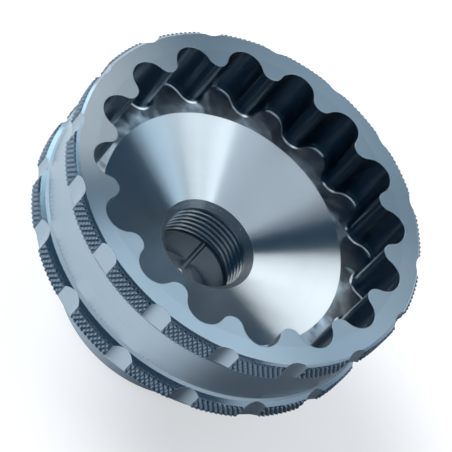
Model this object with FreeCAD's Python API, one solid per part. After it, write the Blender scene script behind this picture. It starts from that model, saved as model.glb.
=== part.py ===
import FreeCAD, Part
import math
import os

# Bottom bracket tool: one piece, turned from an aluminium bar, then milled, broached and knurled.
# Its notched socket grips the outer cup of a bicycle's bottom bracket. It stands on its drive end
# with the notched face up. +Z is its turning axis and the origin is the middle of the drive end.
# The knurl's points and the thread's ridges are too fine for the CAD: the grip rings are drawn at
# the diameter of the knurl's roots, and the threaded hole at the thread's nominal diameter.

# Notched socket for the cup
notch_count = 16
notch_root_diameter = 48.8      # a cup of 48.5 mm and 0.3 mm of play
notch_radius = 2.85             # of each rounded notch, seen from the front
tooth_height = 3.3              # from the notch roots to the tips of the rounded teeth
socket_depth = 9.1

# Dished seat behind the teeth
dish_mouth_diameter = 37.9
dish_bottom_diameter = 14.8
dish_depth = 5.05

# Threaded centre hole, and the pilot hole below it
thread_diameter = 14.0
thread_length = 7.15            # with the chamfer at its mouth
relief_diameter = 14.4
relief_width = 0.8
pilot_diameter = 13.0
pilot_length = 5.3              # down to the ledge round the square hole

# Square hole for a 3/8 inch drive
drive_width = 9.8
drive_corner_radius = 0.4
drive_lead_diameter = 11.2
drive_lead_angle = 90.0

# Outside, from the notched face down to the drive end
wall = 1.7                      # from the notch roots to the waist
ring_height = 0.8               # of the two grip rings above the waist
face_break = 0.35
front_ring_width = 3.1
waist_length = 7.25
rear_ring_width = 2.65
rear_land = 0.65
hub_length = 13.6
hub_diameter = 33.4
waist_cove = 0.33               # the small cone that eases each corner of the waist
hub_cove = 0.6                  # the same at the root of the hub
shoulder_break = 0.3
hub_break = 0.5

# Finger scallops along the grip rings, one behind each tooth
scallop_radius = 2.8
scallop_floor = 0.2             # above the waist, which the scallops leave whole

# Radii that follow
root_r = notch_root_diameter / 2
tip_r = root_r - tooth_height
waist_r = root_r + wall
grip_r = waist_r + ring_height
hub_r = hub_diameter / 2
pitch = 2 * math.pi / notch_count

# Heights that follow; the flanks of the grip rings slope at 45 degrees
rear_ring_low = hub_length + rear_land + ring_height
rear_ring_high = rear_ring_low + rear_ring_width
waist_low = rear_ring_high + ring_height
waist_high = waist_low + waist_length
front_ring_low = waist_high + ring_height
front_ring_high = front_ring_low + front_ring_width
face_z = front_ring_high + face_break
floor_z = face_z - socket_depth
dish_bottom_z = floor_z - dish_depth
thread_low_z = dish_bottom_z - thread_length
relief_low_z = thread_low_z - relief_width
pilot_low_z = relief_low_z - pilot_length


def at(radius, angle, z):
    """The point at a radius and an angle round the turning axis."""
    return FreeCAD.Vector(radius * math.cos(angle), radius * math.sin(angle), z)


def cone_drop(change, angle):
    """How far a cone of a full angle runs along its axis while its radius changes."""
    return change / math.tan(math.radians(angle / 2))


def turned(profile):
    """The solid turned from a closed profile of corners, each a radius and a height."""
    corners = [FreeCAD.Vector(radius, 0, z) for radius, z in profile]
    section = Part.Face(Part.makePolygon(corners + corners[:1]))
    return section.revolve(FreeCAD.Vector(0, 0, 0), FreeCAD.Vector(0, 0, 1), 360)


def blank():
    """The outside: two grip rings with the waist between them, and the round hub of the drive end."""
    rise = waist_cove * math.sqrt(0.5)
    return turned([
        (0, 0),
        (hub_r - hub_break, 0),
        (hub_r, hub_break),
        (hub_r, hub_length - hub_cove),
        (hub_r + hub_cove, hub_length),
        (waist_r - shoulder_break, hub_length),
        (waist_r, hub_length + shoulder_break),
        (waist_r, hub_length + rear_land),
        (grip_r, rear_ring_low),
        (grip_r, rear_ring_high),
        (waist_r + rise, waist_low - rise),
        (waist_r, waist_low + waist_cove),
        (waist_r, waist_high - waist_cove),
        (waist_r + rise, waist_high + rise),
        (grip_r, front_ring_low),
        (grip_r, front_ring_high),
        (grip_r - face_break, face_z),
        (0, face_z),
    ])


def dish_and_bore():
    """What is bored from the front: dished seat, threaded hole, thread relief and pilot hole."""
    dish_r = dish_mouth_diameter / 2
    mouth_r = dish_bottom_diameter / 2
    thread_r = thread_diameter / 2
    relief_r = relief_diameter / 2
    pilot_r = pilot_diameter / 2
    return turned([
        (0, pilot_low_z),
        (pilot_r, pilot_low_z),
        (pilot_r, relief_low_z),
        (relief_r, relief_low_z),
        (relief_r, thread_low_z),
        (thread_r, thread_low_z),
        (thread_r, dish_bottom_z - (mouth_r - thread_r)),
        (mouth_r, dish_bottom_z),
        (dish_r, floor_z),
        (dish_r, face_z),
        (0, face_z),
    ])


def socket():
    """The milled socket: rounded notches between rounded teeth, each arc running into the next."""
    notch_centre_r = root_r - notch_radius
    across = notch_centre_r * math.cos(pitch / 2)
    excess = tip_r**2 + notch_centre_r**2 - 2 * tip_r * across - notch_radius**2
    tooth_radius = excess / (2 * (notch_radius + across - tip_r))
    share = tooth_radius / (tooth_radius + notch_radius)

    def join(tooth, notch):
        tooth_centre = at(tip_r + tooth_radius, tooth, floor_z)
        return tooth_centre + (at(notch_centre_r, notch, floor_z) - tooth_centre) * share

    edges = []
    for k in range(notch_count):
        tooth = k * pitch
        notch = tooth + pitch / 2
        before = join(tooth, tooth - pitch / 2)
        after = join(tooth, notch)
        following = join(tooth + pitch, notch)
        edges.append(Part.Arc(before, at(tip_r, tooth, floor_z), after).toShape())
        edges.append(Part.Arc(after, at(root_r, notch, floor_z), following).toShape())
    return Part.Face(Part.Wire(edges)).extrude(FreeCAD.Vector(0, 0, socket_depth))


def scallops():
    """The round cutters of the finger scallops, which run along both grip rings."""
    centre_r = waist_r + scallop_floor + scallop_radius
    up = FreeCAD.Vector(0, 0, 1)
    length = face_z - hub_length
    cutters = []
    for k in range(notch_count):
        cutters.append(Part.makeCylinder(scallop_radius, length, at(centre_r, k * pitch, hub_length), up))
    return cutters


def square_drive():
    """The broached square, which reaches the thread's relief, and the countersink at its mouth."""
    half = drive_width / 2
    broach = Part.makeBox(drive_width, drive_width, relief_low_z, FreeCAD.Vector(-half, -half, 0))
    upright = [edge for edge in broach.Edges if abs(edge.BoundBox.ZLength - relief_low_z) < 1e-6]
    broach = broach.makeFillet(drive_corner_radius, upright)
    lead_r = drive_lead_diameter / 2
    lead = Part.makeCone(lead_r, 0, cone_drop(lead_r, drive_lead_angle))
    return [broach, lead]


os.makedirs("parts", exist_ok=True)
tool_body = blank().cut([dish_and_bore(), socket()] + scallops() + square_drive())
if tool_body.ShapeType == "Compound" and len(tool_body.Solids) == 1:
    tool_body = tool_body.Solids[0]
tool_body.exportStep("parts/tool_body.step")
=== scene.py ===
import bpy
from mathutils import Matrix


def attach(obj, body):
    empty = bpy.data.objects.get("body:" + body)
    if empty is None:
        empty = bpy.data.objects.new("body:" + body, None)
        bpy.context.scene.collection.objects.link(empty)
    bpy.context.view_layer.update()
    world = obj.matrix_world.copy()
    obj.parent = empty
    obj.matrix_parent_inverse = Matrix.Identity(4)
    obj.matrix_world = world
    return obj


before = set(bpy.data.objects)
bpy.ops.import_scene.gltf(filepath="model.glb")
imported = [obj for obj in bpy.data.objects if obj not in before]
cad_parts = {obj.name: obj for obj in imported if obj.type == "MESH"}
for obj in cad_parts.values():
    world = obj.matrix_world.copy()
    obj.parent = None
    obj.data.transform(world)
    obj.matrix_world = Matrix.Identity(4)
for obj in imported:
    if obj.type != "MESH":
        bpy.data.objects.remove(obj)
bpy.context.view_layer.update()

import math

import bmesh
import bpy
from bpy.props import FloatProperty, FloatVectorProperty, IntProperty, PointerProperty
from mathutils import Matrix, Vector

bl_info = {
    "name": "Bottom Bracket Tool",
    "version": (1, 0, 0),
    "blender": (4, 5, 0),
    "location": "View3D > Sidebar > Bracket Tool",
    "description": "Knurls, threads, finishes and lights the bottom bracket tool",
    "category": "Object",
}

MM = 0.001
AXIS = Vector((0, 0, 1))
MIDDLE = Vector((0, 0, 0))

# Steps of the round forms
THREAD_STEPS = 64       # in each turn of the thread
COLLAR_STEPS = 96       # round the collar over the thread
CORNER_STEPS = 6        # in the quarter circle of the socket's corner
TOOTH_STEPS = 8         # round each tooth
NOTCH_STEPS = 12        # round each notch
MERGE_REACH = 0.001     # in millimetres, within which doubled points become one

# Limits that part the surfaces of the solid, in millimetres
FACE_HEIGHT = 29.97     # just under the notched face
WALL_HEIGHT = 21.0      # just over the socket's floor; the notch walls' painted shade reaches down to it and dims the glint on top of the socket's corner
SHOULDER_HEIGHT = 13.8  # just over the shoulder behind the rear ring
PILOT_HEIGHT = 8.1      # just over the pilot hole, in the thread's relief
SOCKET_RADIUS = 24.6    # just outside the notches
TEETH_RADIUS = 23.9     # of the fine line across the teeth's ends
DISH_RADIUS = 18.94     # just inside the dish's mouth
BORE_RADIUS = 7.42      # just outside the mouth of the centre hole

# Roughness of each surface, of all others, and how far the turned rings move it up and down
ROUGHNESS = {
    "Face": 0.19,
    "Dish": 0.24,
    "Floor": 0.22,
    "Notch": 0.23,
    "Bore": 0.28,
    "Pilot": 0.36,
}
OTHER_ROUGHNESS = 0.24
RING_ROUGHNESS = 0.006

# Tones of the metal, and the painted shade of the notch walls and the knurl, as shares of its red, green and
# blue
DARK_RINGS = (0.97, 0.97, 0.97)
LIGHT_RINGS = (1.03, 1.03, 1.03)
TEETH_ENDS = (0.94, 0.94, 0.94)
# painted shade: the notch walls darkened to half, as if in shade
NOTCH_WALL_PAINTED_SHADE = (0.5, 0.5, 0.5)
# painted shade on the knurl: dark in its grooves, lighter toward its points, and darker than the metal
# throughout
KNURL_ROOT_PAINTED_SHADE = (0.32, 0.38, 0.44)
KNURL_POINT_PAINTED_SHADE = (0.56, 0.62, 0.67)
RING_SHARE = 0.6        # of the change of tone that comes from the rings, the rest from slow clouds
TONE_RANGE = (0.35, 0.65)   # of the rings and clouds, over which the tone goes from dark to light
RING_RANGE = (0.3, 0.7)     # of the rings, over which their roughness changes
ROOT_SHADE_SHARE = 0.6        # of the knurl's height, below which it has the painted shade of its roots

# Relief of the metal in millimetres: of the turned rings and of the waves on the socket's floor
RING_RELIEF = 0.0002
WAVE_RELIEF = 0.2
EDGE_RADIUS = 0.1       # to which every edge is eased

# The floor reaches this far in metres, and lies this far below the tool in millimetres
FLOOR_REACH = 3.0
FLOOR_DROP = 0.02

# Painted shadows, where the floor's glow is kept back: centre, inner and outer radius in millimetres, and
# the share of the glow that is left inside. The foot's and the seen shade paint the tool's shadow for the
# camera; the mirrored one, deeper and wider, is seen only by the metal as painted dark reflections on the
# waist and scallops. The last lets half of the glow up the bore.
FOOT_SHADE = ((0, 0, 0), 3, 19, 0.0)
SEEN_SHADE = ((-24, -12, 0), 14, 40, 0.66)
MIRRORED_SHADE = ((-34, -26, 0), 30, 58, 0.0)
BORE_LIGHT = ((0, 0, 0), 7, 8, 0.5)

# Each lamp's azimuth, elevation, width and height in degrees, its radiance and its colour
SOFTBOXES = (
    ("key_softbox", -8, 36, 36, 42, 2.4, (1.0, 0.89, 0.80)),
    ("low_softbox", 36, 8, 50, 12, 3.3, (0.75, 0.95, 1.0)),
    ("top_softbox", 249, 61, 30, 22, 1.95, (1.0, 0.90, 0.82)),
    ("side_softbox", 265, 43, 20, 12, 1.4, (0.9, 0.98, 1.0)),
    ("back_softbox", 302, 66, 22, 18, 1.4, (0.92, 0.98, 1.0)),
    ("high_softbox", 225, 88, 24, 46, 1.3, (1.0, 0.92, 0.88)),
    ("far_softbox", 222, 24, 44, 26, 0.62, (0.95, 0.98, 1.0)),
    ("face_softbox", -68, 54, 32, 20, 0.82, (0.85, 0.95, 1.0)),
)
LAMP_DISTANCE = 0.7     # in metres, from the point that the lamps face
LAMP_AIM = 20           # height of that point in millimetres


def bar(name, text, value):
    """A length in metres, given in millimetres."""
    return FloatProperty(name=name, description=text, default=value * MM, unit="LENGTH", precision=5)


def tint(name, text, value):
    """A linear colour."""
    return FloatVectorProperty(name=name, description=text, default=value, size=3,
                               subtype="COLOR", min=0, max=1)


class ToolSizes(bpy.types.PropertyGroup):
    """Sizes of the solid that the fine work is cut on."""

    tooth_count: IntProperty(name="Teeth", description="Teeth round the socket", default=16, min=3)
    root_radius: bar("Knurl root radius", "Radius of the grip rings under the knurl", 26.9)
    scallop_radius: bar("Scallop radius", "Radius of each finger scallop", 2.8)
    scallop_centre: bar("Scallop centre", "Distance of a scallop's centre from the axis", 29.1)
    front_low: bar("Front ring low edge", "Height where the front ring's knurl begins", 26.55)
    front_high: bar("Front ring high edge", "Height where the front ring's knurl ends", 29.65)
    rear_low: bar("Rear ring low edge", "Height where the rear ring's knurl begins", 15.05)
    rear_high: bar("Rear ring high edge", "Height where the rear ring's knurl ends", 17.7)


class KnurlSizes(bpy.types.PropertyGroup):
    """The diamond knurl of the grip rings."""

    per_tooth: IntProperty(name="Points per tooth", description="Knurl points round the ring for each tooth",
                           default=14, min=4)
    angle: FloatProperty(name="Groove angle", description="Slope of the grooves from the tool's axis",
                         default=math.radians(29), subtype="ANGLE",
                         min=math.radians(10), max=math.radians(60))
    depth: bar("Depth", "Height of the points over the grooves", 0.3)
    flat: FloatProperty(name="Flat", description="Share of a point's width that is left flat on top",
                        default=0.14, min=0.02, max=0.9, subtype="FACTOR")
    sink: bar("Sink", "How far the knurl's back is sunk in the ring", 0.05)


class ThreadSizes(bpy.types.PropertyGroup):
    """The ridges of the thread in the centre hole."""

    pitch: bar("Pitch", "Rise of the thread for each turn", 1.0)
    root_radius: bar("Root radius", "Radius of the hole that the ridges stand on", 7.0)
    crest_radius: bar("Crest radius", "Radius of the hole over the ridges", 6.46)
    high: bar("High end", "Height of the mouth of the hole", 15.85)
    low: bar("Low end", "Height of the thread's relief", 8.7)
    mouth_radius: bar("Mouth radius", "Radius of the hole's chamfered mouth", 7.4)
    sink: bar("Sink", "How far the ridges are sunk in the wall", 0.04)


class SocketSizes(bpy.types.PropertyGroup):
    """The rounded corner that the cutter leaves between the socket's floor and its walls."""

    notch_centre: bar("Notch centre", "Distance of a notch's centre from the axis", 21.55)
    notch_radius: bar("Notch radius", "Radius of each rounded notch", 2.85)
    tip_radius: bar("Tip radius", "Distance of the tooth tips from the axis", 21.1)
    floor: bar("Floor", "Height of the socket's floor", 20.9)
    corner: bar("Corner", "Radius of the corner at the foot of the walls", 0.6)
    sink: bar("Sink", "How far the corner is sunk in the floor and the walls", 0.03)


class FinishColours(bpy.types.PropertyGroup):
    """Colours of the metal and the studio."""

    metal: tint("Metal", "Colour of the satin metal", (0.385, 0.48, 0.56))
    # the dark floor colour deepens the painted shadows where the floor's glow is kept back
    floor: tint("Floor", "Colour of the floor where it doesn't glow", (0.2, 0.22, 0.25))
    glow: tint("Glow", "Colour of the floor's glow", (0.96, 0.98, 1.0))
    sky: tint("Sky", "Colour of the studio overhead", (0.04, 0.5, 1.0))
    haze: tint("Haze", "Colour of the studio at the horizon", (0.25, 0.65, 1.0))


class StudioSettings(bpy.types.PropertyGroup):
    """The camera, the floor's glow and the light of the studio itself."""

    aim: FloatVectorProperty(name="Aim", description="Point that the camera looks at",
                             default=(-0.14 * MM, -0.12 * MM, 21.27 * MM), size=3,
                             subtype="TRANSLATION", precision=5)
    azimuth: FloatProperty(name="Azimuth", description="Direction of the camera round the tool, from +X",
                           default=math.radians(131.483), subtype="ANGLE")
    elevation: FloatProperty(name="Elevation", description="Height of the camera over the tool, as an angle",
                             default=math.radians(47.660), subtype="ANGLE")
    roll: FloatProperty(name="Roll", description="Turn of the camera about its line of sight",
                        default=math.radians(42.680), subtype="ANGLE")
    distance: bar("Distance", "From the camera to the point it looks at", 359.03)
    lens: FloatProperty(name="Lens", description="Focal length in millimetres", default=202.23, min=10)
    glow: FloatProperty(name="Glow", description="Strength of the floor's glow", default=0.97, min=0)
    sky: FloatProperty(name="Sky", description="Strength of the studio's light overhead",
                       default=0.075, min=0)
    haze: FloatProperty(name="Haze", description="Strength of the studio's light at the horizon",
                        default=0.34, min=0)
    haze_top: FloatProperty(name="Haze top", description="Height on a unit sphere where the haze ends",
                            default=0.5, min=0.01, max=1)


def facing(angle):
    """The outward direction of the tool at an angle round its axis."""
    return Vector((math.cos(angle), math.sin(angle), 0))


def direction(azimuth, elevation):
    """The direction at an angle round the tool from +X and a height over it."""
    return facing(azimuth) * math.cos(elevation) + AXIS * math.sin(elevation)


def finished(bm, name, material, crease=30):
    """A piece made of a bmesh, which rides on the tool. The crease is the angle from which edges stay sharp,
    in degrees."""
    bmesh.ops.recalc_face_normals(bm, faces=bm.faces)
    for face in bm.faces:
        face.smooth = True
    for edge in bm.edges:
        edge.smooth = edge.is_manifold and edge.calc_face_angle(0) < math.radians(crease)
    mesh = bpy.data.meshes.new(name)
    bm.to_mesh(mesh)
    bm.free()
    piece = bpy.data.objects.new(name, mesh)
    bpy.context.scene.collection.objects.link(piece)
    mesh.materials.append(material)
    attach(piece, "root")
    return piece


def closed_outline(bm, corners):
    """The vertices at the corners of an outline, and the edges that close it."""
    verts = [bm.verts.new(corner) for corner in corners]
    return verts + [bm.edges.new((verts[i - 1], verts[i])) for i in range(len(verts))]


def trim(bm, point, beyond):
    """Cuts away what lies beyond a plane and closes the cut."""
    geometry = bm.verts[:] + bm.edges[:] + bm.faces[:]
    cut = bmesh.ops.bisect_plane(bm, geom=geometry, plane_co=point, plane_no=beyond, clear_outer=True)
    edges = [item for item in cut["geom_cut"] if isinstance(item, bmesh.types.BMEdge)]
    bmesh.ops.holes_fill(bm, edges=edges, sides=0)


def knurled_pads(tool, knurl, low, high):
    """One ring's knurled pads, one between each two scallops.

    A flat grid of diamonds is raised to points and trimmed to one pad, with x round the ring and y up it.
    The pad is then bent round the ring and repeated."""
    bm = bmesh.new()
    crest_radius = tool.root_radius + knurl.depth
    half_tooth = math.pi / tool.tooth_count
    across = half_tooth * crest_radius / knurl.per_tooth
    along = across / math.tan(knurl.angle)
    middle = (low + high) / 2
    cells = 2 * math.ceil(knurl.per_tooth / 2 + (high - low) / along / 2) + 2
    bmesh.ops.create_grid(bm, x_segments=cells, y_segments=cells, size=cells / 2)
    slant = Matrix(((across, -across, 0, 0), (along, along, 0, 0), (0, 0, 1, 0), (0, 0, 0, 1)))
    bmesh.ops.transform(bm, matrix=slant, verts=bm.verts)
    top = bm.faces[:]
    back = bmesh.ops.extrude_face_region(bm, geom=top, use_keep_orig=True)
    sunk = [item for item in back["geom"] if isinstance(item, bmesh.types.BMVert)]
    bmesh.ops.translate(bm, vec=-AXIS * knurl.sink, verts=sunk)
    bmesh.ops.recalc_face_normals(bm, faces=bm.faces)
    groove = across * math.cos(knurl.angle)
    bmesh.ops.inset_individual(bm, faces=top, thickness=groove * (1 - knurl.flat), depth=knurl.depth)

    lean = 0.35     # of the pad's upper and lower ends, for each unit of its height
    high_end = Vector((0, 1, lean)).normalized()
    trim(bm, Vector((0, high - middle, 0)), high_end)
    trim(bm, Vector((0, low - middle, 0)), Vector((0, -high_end.y, high_end.z)))

    def scallop_edge(radius):
        """How far the pad reaches to each side before a scallop cuts it off, at a radius of the ring."""
        reach = radius ** 2 + tool.scallop_centre ** 2 - tool.scallop_radius ** 2
        return (half_tooth - math.acos(reach / (2 * radius * tool.scallop_centre))) * crest_radius

    foot = scallop_edge(tool.root_radius)
    crest = scallop_edge(crest_radius)
    for side in (1, -1):
        trim(bm, Vector((side * foot, 0, 0)), Vector((side * knurl.depth, 0, foot - crest)).normalized())

    for vert in bm.verts:
        turn = half_tooth + vert.co.x / crest_radius
        vert.co = facing(turn) * (tool.root_radius + vert.co.z) + AXIS * (middle + vert.co.y)
    bmesh.ops.spin(bm, geom=bm.verts[:] + bm.edges[:] + bm.faces[:], cent=MIDDLE, axis=AXIS,
                   angle=2 * math.pi * (tool.tooth_count - 1) / tool.tooth_count,
                   steps=tool.tooth_count - 1, use_duplicate=True)
    return bm


def thread_ridges(thread):
    """The thread: a ridge swept along a helix and cut off at both ends, with a plain collar over it."""
    bm = bmesh.new()
    turns = math.ceil((thread.high - thread.low) / thread.pitch) + 2
    start = thread.low - thread.pitch
    sunk_radius = thread.root_radius + thread.sink
    # A ridge takes up 7/8 of the pitch at the wall, a little more where it is sunk, and 1/4 at its crest
    half_foot = thread.pitch * 7 / 16 + thread.sink * 0.5
    half_crest = thread.pitch / 8
    ridge = closed_outline(bm, [
        (sunk_radius, 0, start - half_foot),
        (thread.crest_radius, 0, start - half_crest),
        (thread.crest_radius, 0, start + half_crest),
        (sunk_radius, 0, start + half_foot),
    ])
    bmesh.ops.spin(bm, geom=ridge, cent=MIDDLE, axis=AXIS, dvec=AXIS * thread.pitch / THREAD_STEPS,
                   angle=2 * math.pi * turns, steps=THREAD_STEPS * turns)
    bmesh.ops.holes_fill(bm, edges=[edge for edge in bm.edges if edge.is_boundary], sides=0)
    bmesh.ops.recalc_face_normals(bm, faces=bm.faces)
    trim(bm, AXIS * thread.low, -AXIS)
    chamfer_low = thread.high - (thread.mouth_radius - thread.crest_radius)
    collar_low = chamfer_low - thread.pitch / 8
    trim(bm, AXIS * collar_low, AXIS)

    flank = math.radians(30)
    collar = closed_outline(bm, [
        (thread.crest_radius, 0, chamfer_low),
        (sunk_radius, 0, thread.high - (thread.mouth_radius - sunk_radius)),
        (sunk_radius, 0, collar_low - (sunk_radius - thread.crest_radius) * math.tan(flank)),
        (thread.crest_radius, 0, collar_low),
    ])
    bmesh.ops.spin(bm, geom=collar, cent=MIDDLE, axis=AXIS, angle=2 * math.pi,
                   steps=COLLAR_STEPS, use_merge=True)
    return bm


def corner_ring(tool, socket):
    """The rounded corner at the foot of the walls, spun round each tooth and each notch in turn.

    A tooth's arc has its centre behind the tooth's tip, and touches the arcs of the notches beside it."""
    pitch = 2 * math.pi / tool.tooth_count
    across = socket.notch_centre * math.cos(pitch / 2)
    excess = (socket.tip_radius - across) ** 2 + (socket.notch_centre * math.sin(pitch / 2)) ** 2
    spare = socket.notch_radius + across - socket.tip_radius
    tooth_radius = (excess - socket.notch_radius ** 2) / (2 * spare)
    tooth_centre = socket.tip_radius + tooth_radius
    inward = facing(-pitch / 2) * socket.notch_centre - facing(0) * tooth_centre
    inward.normalize()
    round_tooth = 2 * math.atan2(-inward.y, -inward.x)

    bm = bmesh.new()
    start = facing(0) * tooth_centre + inward * tooth_radius + AXIS * socket.floor
    outline = [(-socket.sink, -socket.sink), (-socket.sink, socket.corner)]
    for step in range(CORNER_STEPS + 1):
        turn = step * math.pi / 2 / CORNER_STEPS
        outline.append((socket.corner * (1 - math.cos(turn)), socket.corner * (1 - math.sin(turn))))
    outline.append((socket.corner, -socket.sink))
    ends = closed_outline(bm, [start + inward * along + AXIS * rise for along, rise in outline])
    for k in range(tool.tooth_count):
        swings = (
            (facing(k * pitch) * tooth_centre, -round_tooth, TOOTH_STEPS),
            (facing((k + 0.5) * pitch) * socket.notch_centre, round_tooth + pitch, NOTCH_STEPS),
        )
        for centre, angle, steps in swings:
            swung = bmesh.ops.spin(bm, geom=ends, cent=centre, axis=AXIS, angle=angle, steps=steps)
            ends = swung["geom_last"]
    bmesh.ops.remove_doubles(bm, verts=bm.verts, dist=MERGE_REACH * MM)
    return bm


class Graph:
    """Short ways to place shader nodes in a material, a world or a node group."""

    def __init__(self, tree):
        self.tree = tree

    def node(self, kind, **values):
        made = self.tree.nodes.new(kind)
        for name, value in values.items():
            setattr(made, name, value)
        return made

    def link(self, source, target):
        """Gives a socket a fixed value or the output of a node."""
        if isinstance(source, (int, float, tuple, list)):
            target.default_value = source
        else:
            self.tree.links.new(source, target)

    def math(self, operation, a, b=None, c=None, clamp=False):
        made = self.node("ShaderNodeMath", operation=operation, use_clamp=clamp)
        for socket, value in zip(made.inputs, (a, b, c)):
            if value is not None:
                self.link(value, socket)
        return made.outputs[0]

    def ramp(self, value, low, high, to_low=0.0, to_high=1.0):
        """A smooth change between two limits."""
        made = self.node("ShaderNodeMapRange", interpolation_type="SMOOTHSTEP")
        for socket, item in zip(made.inputs, (value, low, high, to_low, to_high)):
            self.link(item, socket)
        return made.outputs[0]

    def mix(self, factor, a, b):
        """A mix of two colours, whose sockets come after those of numbers and vectors."""
        made = self.node("ShaderNodeMix", data_type="RGBA")
        self.link(factor, made.inputs[0])
        self.link(a, made.inputs[6])
        self.link(b, made.inputs[7])
        return made.outputs[2]

    def noise(self, vector, scale, detail, roughness):
        made = self.node("ShaderNodeTexNoise")
        self.link(vector, made.inputs["Vector"])
        made.inputs["Scale"].default_value = scale
        made.inputs["Detail"].default_value = detail
        made.inputs["Roughness"].default_value = roughness
        return made.outputs[0]


def new_group(name, inputs, outputs):
    """A shader node group with inputs and outputs that carry one number each, and its graph and its ends."""
    group = bpy.data.node_groups.new(name, "ShaderNodeTree")
    for title, default in inputs.items():
        socket = group.interface.new_socket(title, in_out="INPUT", socket_type="NodeSocketFloat")
        socket.default_value = default
    for title in outputs:
        group.interface.new_socket(title, in_out="OUTPUT", socket_type="NodeSocketFloat")
    graph = Graph(group)
    given = graph.node("NodeGroupInput").outputs
    result = graph.node("NodeGroupOutput").inputs
    return group, graph, given, result


def places_group():
    """Where a point lies on the tool: its radius and height, and a mask for each of the tool's surfaces."""
    masks = ("Face", "Dish", "Floor", "Notch", "Bore", "Pilot", "Teeth")
    group, graph, _, result = new_group("tool_places", {}, masks + ("Radius", "Height"))
    split = graph.node("ShaderNodeSeparateXYZ")
    graph.link(graph.node("ShaderNodeTexCoord").outputs["Object"], split.inputs[0])
    x, y, height = split.outputs
    squares = graph.math("ADD", graph.math("MULTIPLY", x, x), graph.math("MULTIPLY", y, y))
    radius = graph.math("SQRT", squares)

    def above(limit):
        return graph.math("GREATER_THAN", height, limit * MM)

    def within(limit):
        return graph.math("LESS_THAN", radius, limit * MM)

    def both(a, b):
        return graph.math("MULTIPLY", a, b)

    def opposite(a):
        return graph.math("SUBTRACT", 1.0, a)

    face = above(FACE_HEIGHT)
    in_walls = above(WALL_HEIGHT)
    over_pilot = above(PILOT_HEIGHT)
    in_dish = within(DISH_RADIUS)
    in_bore = within(BORE_RADIUS)
    inside = both(graph.math("SUBTRACT", within(SOCKET_RADIUS), face, clamp=True), over_pilot)
    over_shoulder = both(inside, above(SHOULDER_HEIGHT))
    graph.link(face, result["Face"])
    graph.link(both(over_shoulder, graph.math("SUBTRACT", in_dish, in_bore)), result["Dish"])
    graph.link(both(both(over_shoulder, opposite(in_walls)), opposite(in_dish)), result["Floor"])
    graph.link(both(inside, in_walls), result["Notch"])
    graph.link(both(inside, in_bore), result["Bore"])
    graph.link(both(in_bore, graph.math("LESS_THAN", height, PILOT_HEIGHT * MM)), result["Pilot"])
    graph.link(both(face, within(TEETH_RADIUS)), result["Teeth"])
    graph.link(radius, result["Radius"])
    graph.link(height, result["Height"])
    return group


def turning_group():
    """The rings of a turned surface, slow clouds of tone, and the waves that a milling cutter leaves."""
    inputs = {"Radius": 0.0, "Height": 0.0, "Rings per metre": 3500.0}
    group, graph, given, result = new_group("turning_marks", inputs, ("Rings", "Cloud", "Waves"))
    join = graph.node("ShaderNodeCombineXYZ")
    scale = given["Rings per metre"]
    graph.link(graph.math("MULTIPLY", given["Radius"], scale), join.inputs[0])
    graph.link(graph.math("MULTIPLY", given["Height"], scale), join.inputs[1])
    graph.link(graph.noise(join.outputs[0], scale=1.0, detail=4.0, roughness=0.6), result["Rings"])
    place = graph.node("ShaderNodeTexCoord").outputs["Object"]
    graph.link(graph.noise(place, scale=120.0, detail=3.0, roughness=0.5), result["Cloud"])
    graph.link(graph.noise(place, scale=380.0, detail=1.0, roughness=0.4), result["Waves"])
    return group


def toned(colour, shares):
    """A colour with each channel scaled by its share, as a colour socket takes it."""
    return tuple(min(1.0, channel * share) for channel, share in zip(colour, shares)) + (1.0,)


def metal_colour(graph, colour, where, marks):
    """Faint rings and clouds of tone, the teeth's ends a little darker, and painted shade on the walls of
    the notches.
    """
    rings = graph.math("MULTIPLY", marks["Rings"], RING_SHARE)
    tone = graph.math("ADD", rings, graph.math("MULTIPLY", marks["Cloud"], 1 - RING_SHARE))
    shade = graph.mix(graph.ramp(tone, *TONE_RANGE), toned(colour, DARK_RINGS), toned(colour, LIGHT_RINGS))
    shade = graph.mix(where["Teeth"], shade, toned(colour, TEETH_ENDS))
    return graph.mix(where["Notch"], shade, toned(colour, NOTCH_WALL_PAINTED_SHADE))


def knurl_painted_shade(graph, colour, where, roots, points):
    """Painted shade on the knurl: dark between its points and lighter toward their tops, between two radii.
    """
    height = graph.ramp(where["Radius"], roots, points)
    return graph.mix(height, toned(colour, KNURL_ROOT_PAINTED_SHADE), toned(colour, KNURL_POINT_PAINTED_SHADE))


def metal_roughness(graph, where, marks):
    """Each surface's own roughness, with a faint change from ring to ring."""
    level = OTHER_ROUGHNESS
    for place, value in ROUGHNESS.items():
        level = graph.math("ADD", level, graph.math("MULTIPLY", where[place], value - OTHER_ROUGHNESS))
    change = graph.ramp(marks["Rings"], *RING_RANGE, -RING_ROUGHNESS, RING_ROUGHNESS)
    return graph.math("ADD", level, change)


def metal_normal(graph, where, marks):
    """Eased edges, fine turned rings, and a milling cutter's waves on the socket's floor."""
    eased = graph.node("ShaderNodeBevel", samples=4)
    eased.inputs["Radius"].default_value = EDGE_RADIUS * MM
    raised = graph.node("ShaderNodeBump")
    graph.link(eased.outputs[0], raised.inputs["Normal"])
    raised.inputs["Distance"].default_value = MM
    milled = graph.math("MULTIPLY", graph.math("MULTIPLY", marks["Waves"], WAVE_RELIEF), where["Floor"])
    graph.link(graph.math("MULTIPLY_ADD", marks["Rings"], RING_RELIEF, milled), raised.inputs["Height"])
    return raised.outputs[0]


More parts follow.
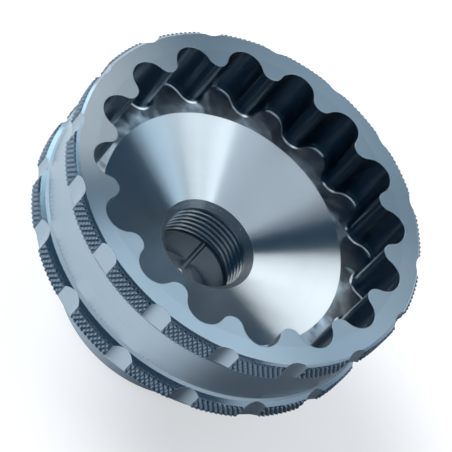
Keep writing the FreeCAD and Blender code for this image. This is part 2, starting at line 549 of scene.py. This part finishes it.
def satin_metal(name, colour, places, turning, knurl_radii=None):
    """Satin metal with its grain round the axis, with the knurl's painted shade where its radii are given.
    """
    material = bpy.data.materials.new(name)
    material.use_nodes = True
    tree = material.node_tree
    shader = tree.nodes["Principled BSDF"]
    graph = Graph(tree)
    where = graph.node("ShaderNodeGroup", node_tree=places).outputs
    turned = graph.node("ShaderNodeGroup", node_tree=turning)
    graph.link(where["Radius"], turned.inputs["Radius"])
    graph.link(where["Height"], turned.inputs["Height"])
    marks = turned.outputs
    if knurl_radii:
        shade = knurl_painted_shade(graph, colour, where, *knurl_radii)
    else:
        shade = metal_colour(graph, colour, where, marks)
    graph.link(shade, shader.inputs["Base Color"])
    graph.link(metal_roughness(graph, where, marks), shader.inputs["Roughness"])
    graph.link(metal_normal(graph, where, marks), shader.inputs["Normal"])
    shader.inputs["Metallic"].default_value = 1.0
    shader.inputs["Anisotropic"].default_value = 0.93
    shader.inputs["Anisotropic Rotation"].default_value = 0.25
    around = graph.node("ShaderNodeTangent", direction_type="RADIAL", axis="Z")
    graph.link(around.outputs[0], shader.inputs["Tangent"])
    return material


def lay_floor(colours, studio):
    """A wide slate floor that glows white to the camera and to the metal, except in painted shadows round
    the tool.
    """
    bm = bmesh.new()
    bmesh.ops.create_grid(bm, x_segments=1, y_segments=1, size=FLOOR_REACH)
    mesh = bpy.data.meshes.new("floor")
    bm.to_mesh(mesh)
    bm.free()
    floor = bpy.data.objects.new("floor", mesh)
    floor.location.z = -FLOOR_DROP * MM
    bpy.context.scene.collection.objects.link(floor)
    material = bpy.data.materials.new("floor_paper")
    material.use_nodes = True
    shader = material.node_tree.nodes["Principled BSDF"]
    graph = Graph(material.node_tree)
    rays = graph.node("ShaderNodeLightPath").outputs
    place = graph.node("ShaderNodeTexCoord").outputs["Object"]

    def glow_left(centre, inner, outer, share):
        """The share of the glow that one shade leaves at each point of the floor."""
        away = graph.node("ShaderNodeVectorMath", operation="DISTANCE")
        graph.link(place, away.inputs[0])
        away.inputs[1].default_value = Vector(centre) * MM
        return graph.ramp(away.outputs["Value"], inner * MM, outer * MM, share, 1.0)

    # painted shade that only the metal sees, as dark reflections
    mirrored = graph.math("MAXIMUM", rays["Is Glossy Ray"], rays["Is Transmission Ray"])
    mirrored = graph.math("MULTIPLY", mirrored, glow_left(*MIRRORED_SHADE))
    # painted shadow that the camera sees
    looked_at = graph.math("MULTIPLY", rays["Is Camera Ray"], glow_left(*SEEN_SHADE))
    up_the_bore = graph.math("SUBTRACT", 1.0, glow_left(*BORE_LIGHT))
    open_floor = graph.math("MAXIMUM", glow_left(*FOOT_SHADE), up_the_bore)
    seen = graph.math("MULTIPLY", graph.math("MAXIMUM", looked_at, mirrored), open_floor)
    graph.link(tuple(colours.floor) + (1.0,), shader.inputs["Base Color"])
    graph.link(tuple(colours.glow) + (1.0,), shader.inputs["Emission Color"])
    graph.link(graph.math("MULTIPLY", seen, studio.glow), shader.inputs["Emission Strength"])
    shader.inputs["Roughness"].default_value = 0.9
    mesh.materials.append(material)


def light_world(scene, colours, studio):
    """A dim studio all round the tool, paler toward the horizon."""
    world = bpy.data.worlds.new("studio")
    scene.world = world
    world.use_nodes = True
    background = world.node_tree.nodes["Background"]
    graph = Graph(world.node_tree)
    split = graph.node("ShaderNodeSeparateXYZ")
    graph.link(graph.node("ShaderNodeTexCoord").outputs["Generated"], split.inputs[0])
    height = split.outputs[2]
    high = graph.ramp(height, 0.0, studio.haze_top)
    colour = graph.mix(high, tuple(colours.haze) + (1.0,), tuple(colours.sky) + (1.0,))
    graph.link(colour, background.inputs["Color"])
    strength = graph.ramp(height, 0.0, studio.haze_top, studio.haze, studio.sky)
    graph.link(strength, background.inputs["Strength"])


def hang_softbox(name, azimuth, elevation, width, height, level, colour):
    """A soft rectangular lamp that faces the tool, as wide and high as it is seen from there."""
    data = bpy.data.lights.new(name, "AREA")
    data.color = colour
    data.shape = "RECTANGLE"
    data.size = 2 * LAMP_DISTANCE * math.tan(math.radians(width / 2))
    data.size_y = 2 * LAMP_DISTANCE * math.tan(math.radians(height / 2))
    data.energy = level * data.size * data.size_y * math.pi
    lamp = bpy.data.objects.new(name, data)
    bpy.context.scene.collection.objects.link(lamp)
    toward = direction(math.radians(azimuth), math.radians(elevation))
    turn = toward.to_track_quat("Z", "Y").to_matrix().to_4x4()
    lamp.matrix_world = Matrix.Translation(toward * LAMP_DISTANCE + AXIS * LAMP_AIM * MM) @ turn


def place_camera(scene, studio):
    """The camera at the photograph's viewing angle."""
    data = bpy.data.cameras.new("camera")
    camera = bpy.data.objects.new("camera", data)
    scene.collection.objects.link(camera)
    toward = direction(studio.azimuth, studio.elevation)
    turn = toward.to_track_quat("Z", "Y").to_matrix().to_4x4() @ Matrix.Rotation(studio.roll, 4, "Z")
    camera.matrix_world = Matrix.Translation(Vector(studio.aim) + toward * studio.distance) @ turn
    data.lens = studio.lens
    data.sensor_width = 36
    data.clip_start = 0.01
    data.clip_end = 20
    scene.camera = camera


class TOOL_OT_finish_body(bpy.types.Operator):
    """Gives the solid its satin metal, and makes the knurl's metal ready"""

    bl_idname = "bracket_tool.finish_body"
    bl_label = "Finish the body"

    def execute(self, context):
        scene = context.scene
        colour = tuple(scene.bracket_tool_colours.metal)
        groups = (places_group(), turning_group())
        material = satin_metal("satin_metal", colour, *groups)
        tool = scene.bracket_tool_sizes
        knurl = scene.bracket_tool_knurl
        # the radii over which the knurl's painted shade goes from its roots to its points
        knurl_radii = (tool.root_radius + knurl.depth * ROOT_SHADE_SHARE, tool.root_radius + knurl.depth)
        satin_metal("knurled_metal", colour, *groups, knurl_radii)
        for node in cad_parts.values():
            node.data.materials.clear()
            node.data.materials.append(material)
        return {"FINISHED"}


class TOOL_OT_knurl_rings(bpy.types.Operator):
    """Cuts the diamond knurl on both grip rings"""

    bl_idname = "bracket_tool.knurl_rings"
    bl_label = "Knurl the grip rings"

    def execute(self, context):
        tool = context.scene.bracket_tool_sizes
        knurl = context.scene.bracket_tool_knurl
        metal = bpy.data.materials["knurled_metal"]
        rings = (
            ("front_knurl", tool.front_low, tool.front_high),
            ("rear_knurl", tool.rear_low, tool.rear_high),
        )
        for name, low, high in rings:
            finished(knurled_pads(tool, knurl, low, high), name, metal, crease=60)
        return {"FINISHED"}


class TOOL_OT_cut_thread(bpy.types.Operator):
    """Cuts the thread in the centre hole"""

    bl_idname = "bracket_tool.cut_thread"
    bl_label = "Cut the thread"

    def execute(self, context):
        thread = context.scene.bracket_tool_thread
        metal = bpy.data.materials["satin_metal"]
        finished(thread_ridges(thread), "centre_thread", metal)
        return {"FINISHED"}


class TOOL_OT_round_corner(bpy.types.Operator):
    """Rounds the corner at the foot of the socket's walls"""

    bl_idname = "bracket_tool.round_corner"
    bl_label = "Round the socket's corner"

    def execute(self, context):
        scene = context.scene
        metal = bpy.data.materials["satin_metal"]
        ring = corner_ring(scene.bracket_tool_sizes, scene.bracket_tool_socket)
        finished(ring, "socket_corner", metal)
        return {"FINISHED"}


class TOOL_OT_set_stage(bpy.types.Operator):
    """Lays the floor and sets the lights and the camera"""

    bl_idname = "bracket_tool.set_stage"
    bl_label = "Set the stage"

    def execute(self, context):
        scene = context.scene
        studio = scene.bracket_tool_studio
        colours = scene.bracket_tool_colours
        lay_floor(colours, studio)
        light_world(scene, colours, studio)
        for box in SOFTBOXES:
            hang_softbox(*box)
        place_camera(scene, studio)
        scene.view_settings.view_transform = "Standard"
        return {"FINISHED"}


class TOOL_PT_steps(bpy.types.Panel):
    """The steps that dress the tool, in order"""

    bl_idname = "TOOL_PT_steps"
    bl_label = "Bottom bracket tool"
    bl_space_type = "VIEW_3D"
    bl_region_type = "UI"
    bl_category = "Bracket Tool"

    def draw(self, context):
        column = self.layout.column()
        for step in STEPS:
            column.operator(step.bl_idname)


STEPS = (
    TOOL_OT_finish_body,
    TOOL_OT_knurl_rings,
    TOOL_OT_cut_thread,
    TOOL_OT_round_corner,
    TOOL_OT_set_stage,
)
GROUPS = {
    "bracket_tool_sizes": ToolSizes,
    "bracket_tool_knurl": KnurlSizes,
    "bracket_tool_thread": ThreadSizes,
    "bracket_tool_socket": SocketSizes,
    "bracket_tool_colours": FinishColours,
    "bracket_tool_studio": StudioSettings,
}


def register():
    for group in GROUPS.values():
        bpy.utils.register_class(group)
    for name, group in GROUPS.items():
        setattr(bpy.types.Scene, name, PointerProperty(type=group))
    for step in STEPS:
        bpy.utils.register_class(step)
    bpy.utils.register_class(TOOL_PT_steps)


def unregister():
    bpy.utils.unregister_class(TOOL_PT_steps)
    for step in reversed(STEPS):
        bpy.utils.unregister_class(step)
    for name in GROUPS:
        delattr(bpy.types.Scene, name)
    for group in reversed(list(GROUPS.values())):
        bpy.utils.unregister_class(group)


def main():
    register()
    bpy.ops.bracket_tool.finish_body()
    bpy.ops.bracket_tool.knurl_rings()
    bpy.ops.bracket_tool.cut_thread()
    bpy.ops.bracket_tool.round_corner()
    bpy.ops.bracket_tool.set_stage()


if __name__ == "__main__":
    main()
